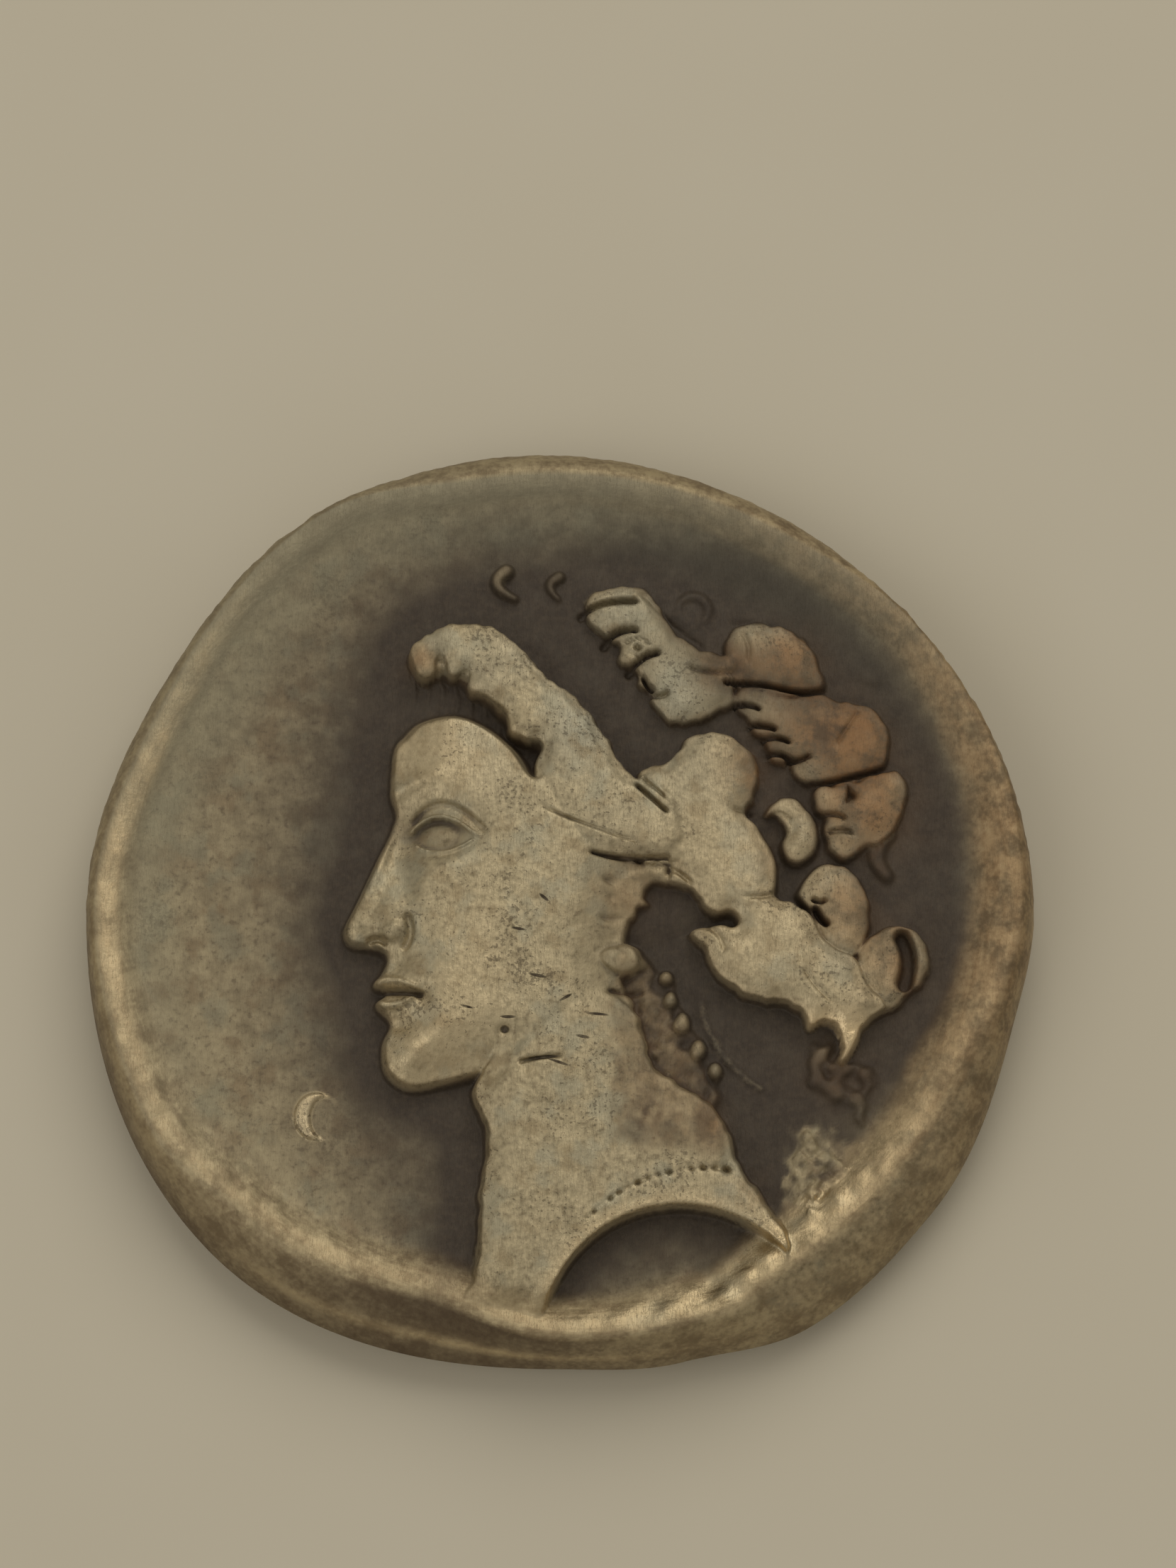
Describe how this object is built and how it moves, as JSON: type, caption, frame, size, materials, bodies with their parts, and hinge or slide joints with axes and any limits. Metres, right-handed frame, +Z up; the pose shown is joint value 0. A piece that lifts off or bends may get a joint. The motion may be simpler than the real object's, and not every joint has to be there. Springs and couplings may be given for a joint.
{
  "type": "didrachm",
  "caption": "Worn hand-struck silver coin lying flat: uneven round flan, raised rim, a head in profile to the left in relief, and a low bull on the underside.",
  "frame": {"origin": "middle of the flan's extents on the plane that the coin rests on", "axes": "+Z up out of the head side, +Y towards the top of the head, +X towards the back of the head"},
  "size_m": [0.021, 0.0208, 0.003],
  "materials": {
    "didrachm": "worn, with a dark patina in the recesses"
  },
  "bodies": {
    "root": {"didrachm": "didrachm"}
  },
  "joints": []
}
